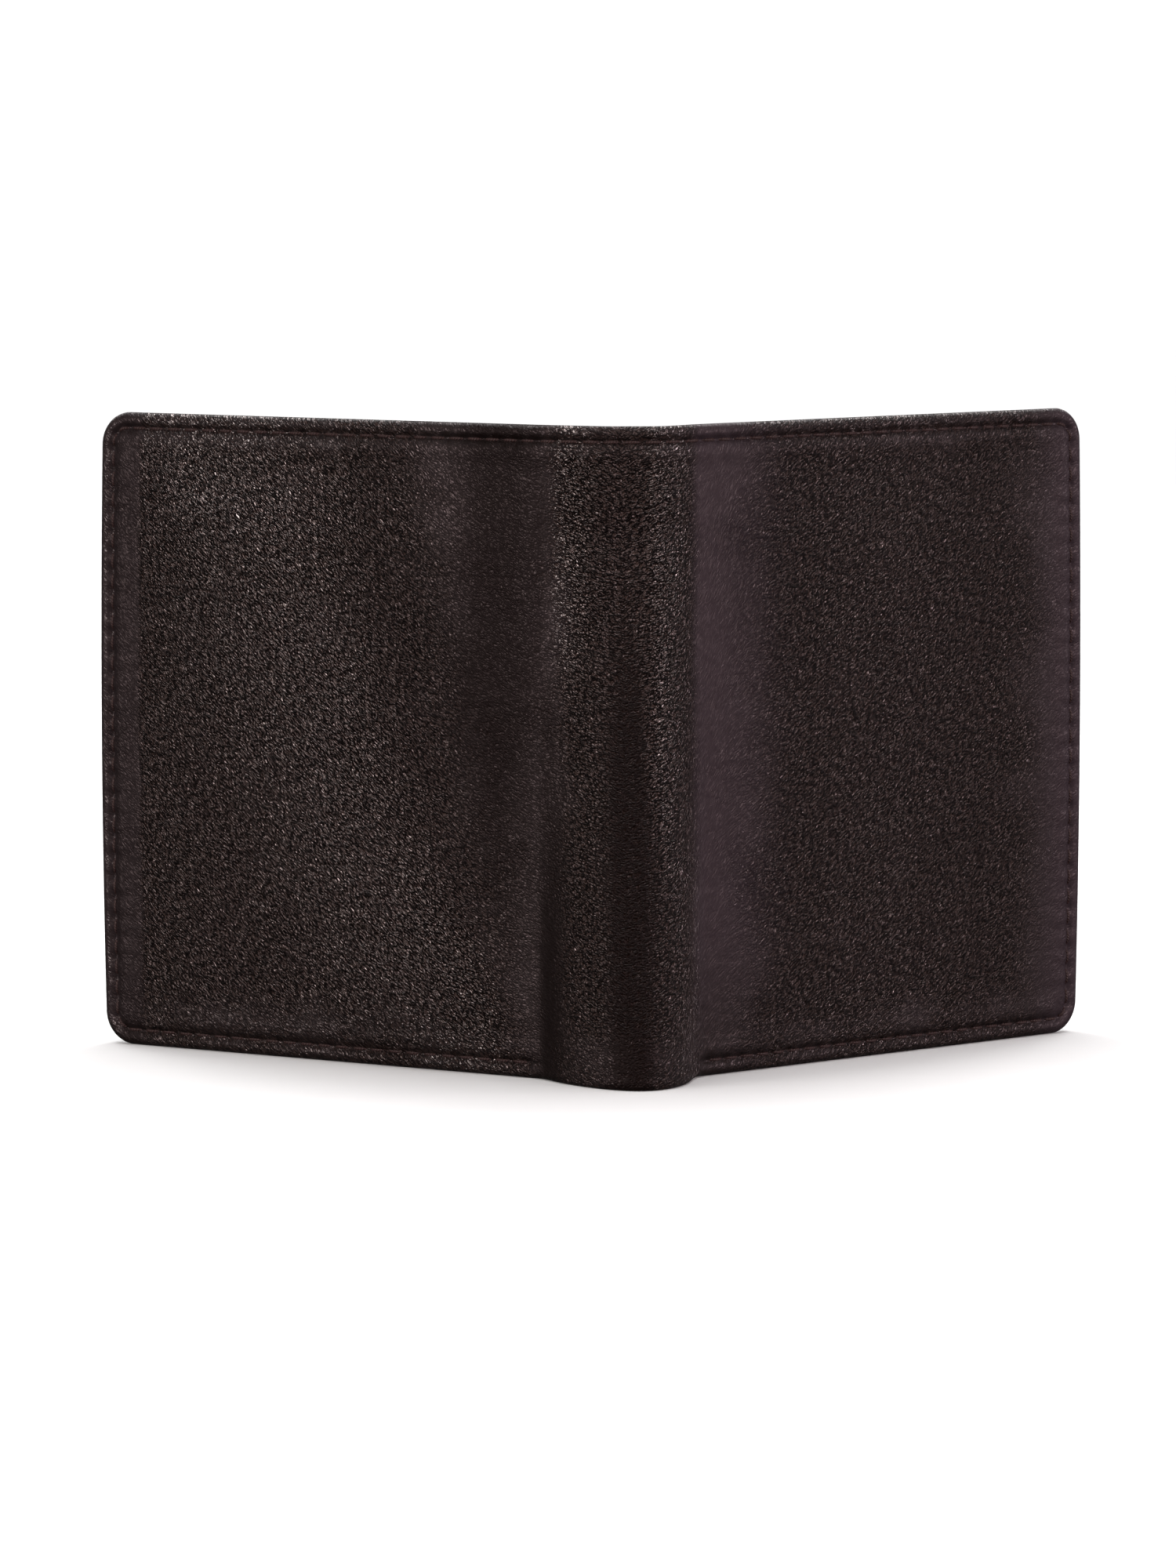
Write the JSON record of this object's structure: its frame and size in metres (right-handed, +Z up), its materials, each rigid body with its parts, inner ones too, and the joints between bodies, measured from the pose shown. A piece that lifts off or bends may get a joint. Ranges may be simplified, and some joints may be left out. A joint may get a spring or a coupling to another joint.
{
  "type": "bifold wallet",
  "caption": "Portrait bifold leather wallet with a wide spine, stitched turned edges, card slots, a window pocket and a coin pocket with a press-stud flap.",
  "frame": {"origin": "on the surface that the wallet stands on, under the middle of the open wallet", "axes": "+Z up along the spine, +X to the right seen from the spine side, +Y from the spine towards the open side"},
  "size_m": [0.1802, 0.076, 0.115],
  "materials": {
    "cover_leather": "smooth dark brown leather with a fine pebbled grain and a soft sheen",
    "inner_leather": "dark brown leather, a little more matt than the cover",
    "seam_thread": "twisted red-brown sewing thread",
    "lining_cloth": "plain woven dark lining cloth",
    "board": "bonded leather fibre board",
    "clear_film": "clear flexible film",
    "antique_brass": "antique brass plating, satin"
  },
  "bodies": {
    "spine": {"cover_spine": "cover_leather", "thread_spine": "seam_thread", "lining_spine": "lining_cloth", "divider_spine": "lining_cloth", "inner_wall_spine": "inner_leather"},
    "left_half": {"cover_left": "cover_leather", "thread_left": "seam_thread", "cover_board_left": "board", "lining_left": "lining_cloth", "divider_left": "lining_cloth", "inner_wall_left": "inner_leather", "card_slot_left_1": "inner_leather", "card_slot_left_2": "inner_leather", "card_slot_left_3": "inner_leather", "window_film": "clear_film", "window_frame": "inner_leather"},
    "right_half": {"cover_right": "cover_leather", "thread_right": "seam_thread", "cover_board_right": "board", "lining_right": "lining_cloth", "divider_right": "lining_cloth", "inner_wall_right": "inner_leather", "card_slot_right_1": "inner_leather", "card_slot_right_2": "inner_leather", "coin_pocket_base": "inner_leather", "coin_pocket_gusset": "inner_leather", "coin_pocket_front": "inner_leather", "coin_flap_anchor": "inner_leather", "press_stud_ball": "antique_brass", "press_stud_eyelet": "antique_brass"},
    "coin_flap": {"coin_flap": "inner_leather", "press_stud_cap": "antique_brass", "press_stud_socket": "antique_brass"}
  },
  "joints": [
    {"name": "left_fold", "type": "hinge", "parent": "spine", "child": "left_half", "pos_m": [-0.01325, -0.02248, 0.0575], "axis": [0, 0, -1], "range_deg": [-35, 55]},
    {"name": "right_fold", "type": "hinge", "parent": "spine", "child": "right_half", "pos_m": [0.01325, -0.02248, 0.0575], "axis": [0, 0, 1], "range_deg": [-35, 55]},
    {"name": "coin_flap_lift", "type": "hinge", "parent": "right_half", "child": "coin_flap", "pos_m": [0.0445, 0.01397, 0.0764], "axis": [0.8192, 0.5736, 0], "range_deg": [0, 180]}
  ]
}
